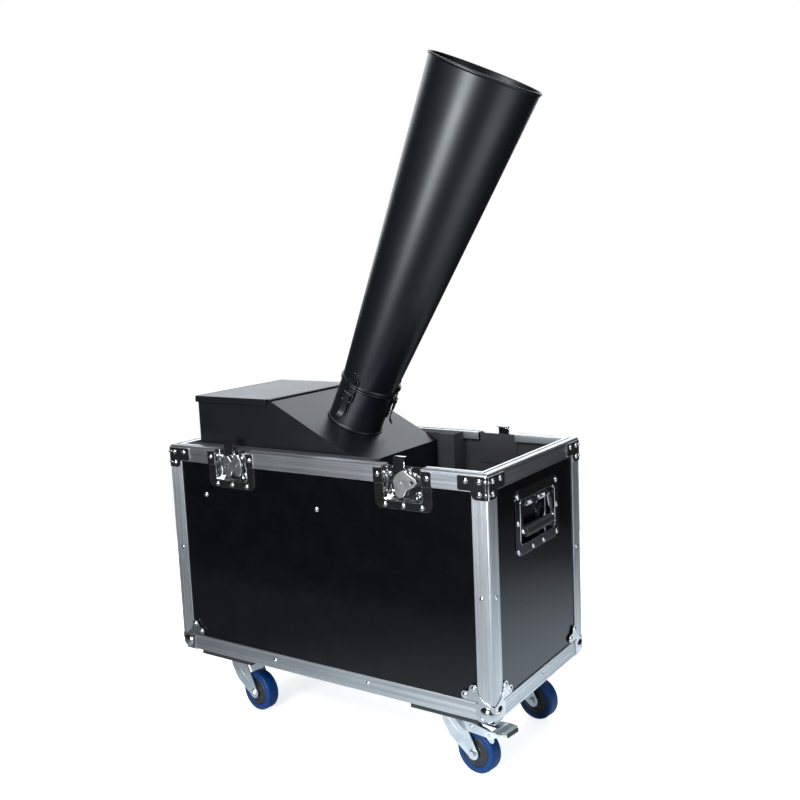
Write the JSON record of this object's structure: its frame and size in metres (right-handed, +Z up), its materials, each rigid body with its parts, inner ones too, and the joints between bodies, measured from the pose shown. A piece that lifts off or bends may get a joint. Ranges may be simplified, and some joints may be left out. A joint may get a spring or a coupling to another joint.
{
  "type": "confetti blower",
  "caption": "Wheeled flight case holding a sheet steel hopper with a flat hinged lid and a long tapered barrel held by toggle latches.",
  "frame": {"origin": "on the floor that the castors stand on, under the middle of the machine's box", "axes": "+X along the case towards the end the barrel leans to, +Y to the back, +Z up"},
  "size_m": [0.7144, 0.353, 1.1925],
  "materials": {
    "laminated_plywood": "black phenolic laminate on birch plywood, satin",
    "aluminium_edging": "mill finish extrusion with fine lengthwise lines",
    "chromed_steel": "bright zinc or chrome plated pressed steel",
    "handle_grip": "black moulded grip on a plated steel bail",
    "lining_foam": "dark grey foam lining, matt",
    "castor_board": "black plywood board with plated castor heads",
    "zinc_plated_steel": "blue-white zinc plated steel",
    "wheel_tread": "blue elastic rubber tread on a black hub",
    "pedal_steel": "grey plated steel with a black edge",
    "black_powder_coat": "fine satin black powder coat"
  },
  "bodies": {
    "case": {"floor_panel": "laminated_plywood", "front_panel": "laminated_plywood", "back_panel": "laminated_plywood", "left_end_panel": "laminated_plywood", "right_end_panel": "laminated_plywood", "top_rim_frame": "aluminium_edging", "bottom_edge_frame": "aluminium_edging", "corner_angle_back_right": "aluminium_edging", "corner_angle_back_left": "aluminium_edging", "corner_angle_front_left": "aluminium_edging", "corner_angle_front_right": "aluminium_edging", "corner_brace_back_right": "chromed_steel", "corner_brace_back_left": "chromed_steel", "corner_brace_front_left": "chromed_steel", "corner_brace_front_right": "chromed_steel", "ball_corner_back_right": "chromed_steel", "ball_corner_back_left": "chromed_steel", "ball_corner_front_left": "chromed_steel", "ball_corner_front_right": "chromed_steel", "front_lining": "lining_foam", "back_lining": "lining_foam", "castor_board_left": "castor_board", "castor_board_right": "castor_board", "latch_dish_front_left": "chromed_steel", "latch_dish_front_right": "chromed_steel", "latch_dish_back_left": "chromed_steel", "latch_dish_back_right": "chromed_steel", "handle_dish_left": "chromed_steel", "handle_dish_right": "chromed_steel", "hopper_body": "black_powder_coat", "gas_jet_pipe": "zinc_plated_steel", "barrel_collar": "black_powder_coat", "barrel": "black_powder_coat"},
    "lid": {"hopper_lid": "black_powder_coat"},
    "castor_back_right": {"castor_fork_back_right": "zinc_plated_steel"},
    "wheel_back_right": {"castor_wheel_back_right": "wheel_tread"},
    "castor_back_left": {"castor_fork_back_left": "zinc_plated_steel"},
    "wheel_back_left": {"castor_wheel_back_left": "wheel_tread"},
    "pedal_back_left": {"brake_pedal_back_left": "pedal_steel"},
    "castor_front_left": {"castor_fork_front_left": "zinc_plated_steel"},
    "wheel_front_left": {"castor_wheel_front_left": "wheel_tread"},
    "castor_front_right": {"castor_fork_front_right": "zinc_plated_steel"},
    "wheel_front_right": {"castor_wheel_front_right": "wheel_tread"},
    "pedal_front_right": {"brake_pedal_front_right": "pedal_steel"},
    "wing_front_left": {"latch_wing_front_left": "chromed_steel"},
    "hook_front_left": {"latch_hook_front_left": "chromed_steel"},
    "wing_front_right": {"latch_wing_front_right": "chromed_steel"},
    "hook_front_right": {"latch_hook_front_right": "chromed_steel"},
    "wing_back_left": {"latch_wing_back_left": "chromed_steel"},
    "hook_back_left": {"latch_hook_back_left": "chromed_steel"},
    "wing_back_right": {"latch_wing_back_right": "chromed_steel"},
    "hook_back_right": {"latch_hook_back_right": "chromed_steel"},
    "handle_right": {"carry_handle_right": "handle_grip"},
    "handle_left": {"carry_handle_left": "handle_grip"},
    "lever_1": {"toggle_lever_1": "black_powder_coat"},
    "loop_1": {"toggle_loop_1": "black_powder_coat"},
    "lever_2": {"toggle_lever_2": "black_powder_coat"},
    "loop_2": {"toggle_loop_2": "black_powder_coat"},
    "lever_3": {"toggle_lever_3": "black_powder_coat"},
    "loop_3": {"toggle_loop_3": "black_powder_coat"}
  },
  "joints": [
    {"name": "lid_hinge", "type": "hinge", "parent": "case", "child": "lid", "pos_m": [-0.13176, 0, 0.60905], "axis": [0, 1, 0], "range_deg": [0, 100]},
    {"name": "castor_swivel_back_right", "type": "hinge", "parent": "case", "child": "castor_back_right", "pos_m": [0.23924, 0.111, 0.106], "axis": [0, 0, 1], "continuous": true},
    {"name": "wheel_spin_back_right", "type": "hinge", "parent": "castor_back_right", "child": "wheel_back_right", "pos_m": [0.28182, 0.10502, 0.0375], "axis": [0.1392, 0.9903, 0], "continuous": true},
    {"name": "castor_swivel_back_left", "type": "hinge", "parent": "case", "child": "castor_back_left", "pos_m": [-0.24576, 0.111, 0.106], "axis": [0, 0, 1], "continuous": true},
    {"name": "wheel_spin_back_left", "type": "hinge", "parent": "castor_back_left", "child": "wheel_back_left", "pos_m": [-0.20318, 0.10502, 0.0375], "axis": [0.1392, 0.9903, 0], "continuous": true},
    {"name": "brake_press_back_left", "type": "hinge", "parent": "castor_back_left", "child": "pedal_back_left", "pos_m": [-0.16654, 0.09987, 0.0815], "axis": [0.1392, 0.9903, 0], "range_deg": [0, 12]},
    {"name": "castor_swivel_front_left", "type": "hinge", "parent": "case", "child": "castor_front_left", "pos_m": [-0.24576, -0.111, 0.106], "axis": [0, 0, 1], "continuous": true},
    {"name": "wheel_spin_front_left", "type": "hinge", "parent": "castor_front_left", "child": "wheel_front_left", "pos_m": [-0.20318, -0.11698, 0.0375], "axis": [0.1392, 0.9903, 0], "continuous": true},
    {"name": "castor_swivel_front_right", "type": "hinge", "parent": "case", "child": "castor_front_right", "pos_m": [0.23924, -0.111, 0.106], "axis": [0, 0, 1], "continuous": true},
    {"name": "wheel_spin_front_right", "type": "hinge", "parent": "castor_front_right", "child": "wheel_front_right", "pos_m": [0.28182, -0.11698, 0.0375], "axis": [0.1392, 0.9903, 0], "continuous": true},
    {"name": "brake_press_front_right", "type": "hinge", "parent": "castor_front_right", "child": "pedal_front_right", "pos_m": [0.31846, -0.12213, 0.0815], "axis": [0.1392, 0.9903, 0], "range_deg": [0, 12]},
    {"name": "latch_turn_front_left", "type": "hinge", "parent": "case", "child": "wing_front_left", "pos_m": [-0.19226, -0.168, 0.4913], "axis": [0, -1, 0], "range_deg": [0, 180]},
    {"name": "latch_draw_front_left", "type": "slide", "parent": "case", "child": "hook_front_left", "axis": [0, 0, -1], "range_m": [0, 0.01]},
    {"name": "latch_turn_front_right", "type": "hinge", "parent": "case", "child": "wing_front_right", "pos_m": [0.18574, -0.168, 0.4913], "axis": [0, -1, 0], "range_deg": [0, 180]},
    {"name": "latch_draw_front_right", "type": "slide", "parent": "case", "child": "hook_front_right", "axis": [0, 0, -1], "range_m": [0, 0.01]},
    {"name": "latch_turn_back_left", "type": "hinge", "parent": "case", "child": "wing_back_left", "pos_m": [-0.19226, 0.168, 0.4913], "axis": [0, 1, 0], "range_deg": [0, 180]},
    {"name": "latch_draw_back_left", "type": "slide", "parent": "case", "child": "hook_back_left", "axis": [0, 0, -1], "range_m": [0, 0.01]},
    {"name": "latch_turn_back_right", "type": "hinge", "parent": "case", "child": "wing_back_right", "pos_m": [0.18574, 0.168, 0.4913], "axis": [0, 1, 0], "range_deg": [0, 180]},
    {"name": "latch_draw_back_right", "type": "slide", "parent": "case", "child": "hook_back_right", "axis": [0, 0, -1], "range_m": [0, 0.01]},
    {"name": "handle_lift_right", "type": "hinge", "parent": "case", "child": "handle_right", "pos_m": [0.33514, 0, 0.4448], "axis": [0, -1, 0], "range_deg": [0, 90], "stiffness_Nm_per_rad": 0.25},
    {"name": "handle_lift_left", "type": "hinge", "parent": "case", "child": "handle_left", "pos_m": [-0.34166, 0, 0.4448], "axis": [0, 1, 0], "range_deg": [0, 90], "stiffness_Nm_per_rad": 0.25},
    {"name": "toggle_open_1", "type": "hinge", "parent": "case", "child": "lever_1", "pos_m": [0.00035, -0.057, 0.6184], "axis": [-0.8918, 0, 0.4524], "range_deg": [0, 150]},
    {"name": "loop_swing_1", "type": "hinge", "parent": "lever_1", "child": "loop_1", "pos_m": [-0.00598, -0.057, 0.60592], "axis": [-0.8918, 0, 0.4524], "range_deg": [-180, 0]},
    {"name": "toggle_open_2", "type": "hinge", "parent": "case", "child": "lever_2", "pos_m": [0.04437, 0.0285, 0.59607], "axis": [0.4459, -0.866, -0.2262], "range_deg": [0, 150]},
    {"name": "loop_swing_2", "type": "hinge", "parent": "lever_2", "child": "loop_2", "pos_m": [0.03804, 0.0285, 0.58359], "axis": [0.4459, -0.866, -0.2262], "range_deg": [-180, 0]},
    {"name": "toggle_open_3", "type": "hinge", "parent": "case", "child": "lever_3", "pos_m": [-0.04367, 0.0285, 0.64074], "axis": [0.4459, 0.866, -0.2262], "range_deg": [0, 150]},
    {"name": "loop_swing_3", "type": "hinge", "parent": "lever_3", "child": "loop_3", "pos_m": [-0.05, 0.0285, 0.62825], "axis": [0.4459, 0.866, -0.2262], "range_deg": [-180, 0]}
  ],
  "couplings": [
    {"joint": "latch_draw_front_left", "follows": "latch_turn_front_left", "m_per_rad": 0.00318},
    {"joint": "latch_draw_front_right", "follows": "latch_turn_front_right", "m_per_rad": 0.00318},
    {"joint": "latch_draw_back_left", "follows": "latch_turn_back_left", "m_per_rad": 0.00318},
    {"joint": "latch_draw_back_right", "follows": "latch_turn_back_right", "m_per_rad": 0.00318},
    {"joint": "loop_swing_1", "follows": "toggle_open_1", "ratio": -1.2},
    {"joint": "loop_swing_2", "follows": "toggle_open_2", "ratio": -1.2},
    {"joint": "loop_swing_3", "follows": "toggle_open_3", "ratio": -1.2}
  ]
}
